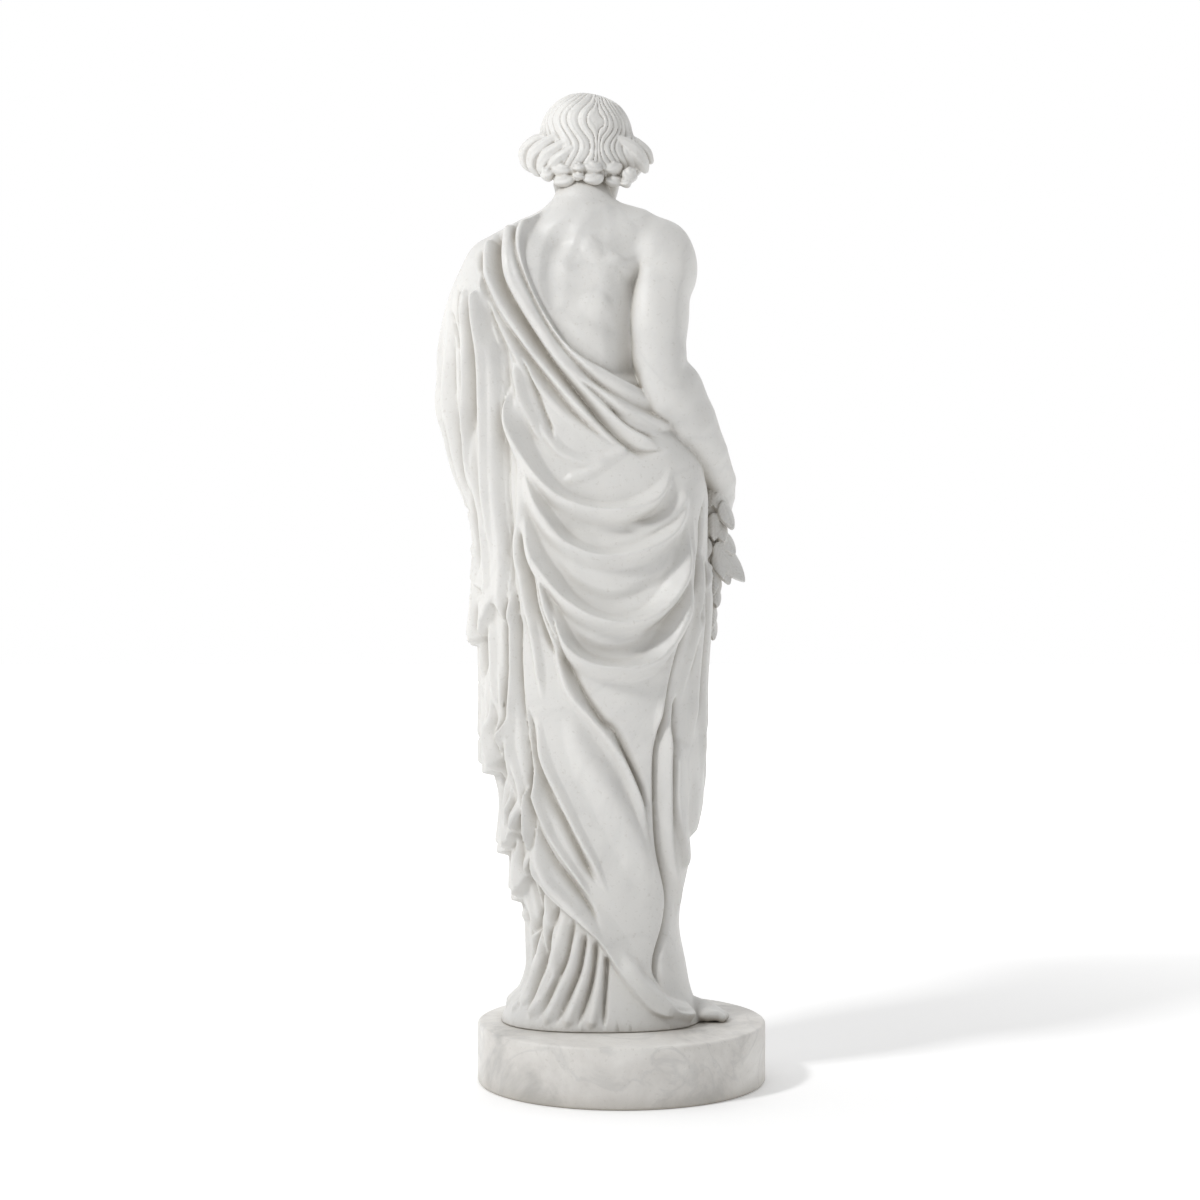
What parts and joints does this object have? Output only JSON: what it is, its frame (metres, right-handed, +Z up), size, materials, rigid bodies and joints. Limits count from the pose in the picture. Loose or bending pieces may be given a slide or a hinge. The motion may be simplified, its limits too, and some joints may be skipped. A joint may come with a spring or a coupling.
{
  "type": "classical marble statue",
  "caption": "Life-size draped standing figure in carved marble, one shoulder bare, leaves held at the hip, on a low round plinth.",
  "frame": {"origin": "middle of the underside of the round plinth", "axes": "+Z up, +Y to the figure's back, +X to the figure's own left"},
  "size_m": [0.6019, 0.528, 1.8046],
  "materials": {
    "plinth_marble": "honed",
    "figure_marble": "polished"
  },
  "bodies": {
    "root": {"plinth": "plinth_marble", "figure": "figure_marble"}
  },
  "joints": []
}
